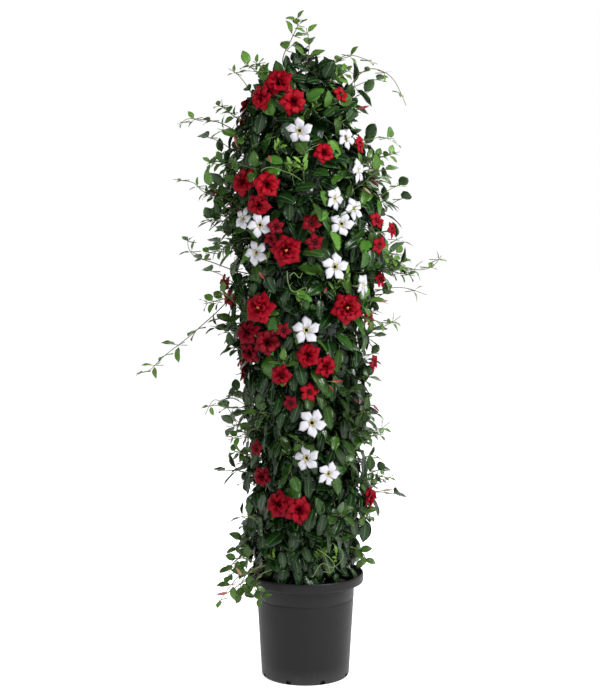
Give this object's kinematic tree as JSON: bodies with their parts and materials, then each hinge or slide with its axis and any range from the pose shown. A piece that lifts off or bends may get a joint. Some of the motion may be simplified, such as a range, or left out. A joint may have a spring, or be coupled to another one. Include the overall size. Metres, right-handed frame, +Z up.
{
  "type": "potted mandevilla",
  "caption": "Tall flowering mandevilla vine grown as a leafy column, with red and white trumpet flowers, in a round dark nursery pot.",
  "frame": {"origin": "centre of the pot's foot, on the surface it stands on", "axes": "+Z up along the plant; -Y is the side that the picture shows"},
  "size_m": [0.9404, 0.5429, 2.0343],
  "materials": {
    "pot_plastic": "satin",
    "soil": "matte",
    "cane": "satin",
    "tie": "matte",
    "leaf": "satin",
    "petal_red": "satin",
    "petal_white": "satin"
  },
  "bodies": {
    "root": {"cane_1": "cane", "cane_2": "cane", "cane_3": "cane", "pot": "pot_plastic", "red_bloom_02": "petal_red", "red_bloom_03": "petal_red", "red_bloom_04": "petal_red", "red_bloom_08": "petal_red", "red_bloom_11": "petal_red", "red_bloom_12": "petal_red", "red_bloom_13": "petal_red", "red_bloom_14": "petal_red", "red_bloom_16": "petal_red", "red_bloom_18": "petal_red", "red_bloom_19": "petal_red", "red_bloom_20": "petal_red", "red_bloom_21": "petal_red", "red_bloom_22": "petal_red", "red_bloom_23": "petal_red", "red_bloom_25": "petal_red", "red_bunch_01": "petal_red", "red_bunch_05": "petal_red", "red_bunch_06": "petal_red", "red_bunch_07": "petal_red", "red_bunch_09": "petal_red", "red_bunch_10": "petal_red", "red_bunch_15": "petal_red", "red_bunch_17": "petal_red", "red_bunch_24": "petal_red", "red_bunch_26": "petal_red", "red_bunch_27": "petal_red", "red_bunch_28": "petal_red", "red_bunch_29": "petal_red", "red_bunch_30": "petal_red", "red_bunch_31": "petal_red", "soil": "soil", "tie_1": "tie", "tie_2": "tie", "vine_1": "leaf", "vine_2": "leaf", "vine_3": "leaf", "vine_4": "leaf", "white_bloom_01": "petal_white", "white_bloom_02": "petal_white", "white_bloom_03": "petal_white", "white_bloom_04": "petal_white", "white_bloom_07": "petal_white", "white_bloom_08": "petal_white", "white_bloom_09": "petal_white", "white_bloom_10": "petal_white", "white_bloom_11": "petal_white", "white_bloom_12": "petal_white", "white_bloom_13": "petal_white", "white_bunch_05": "petal_white", "white_bunch_06": "petal_white", "white_bunch_14": "petal_white", "white_bunch_15": "petal_white", "white_bunch_16": "petal_white"}
  },
  "joints": []
}
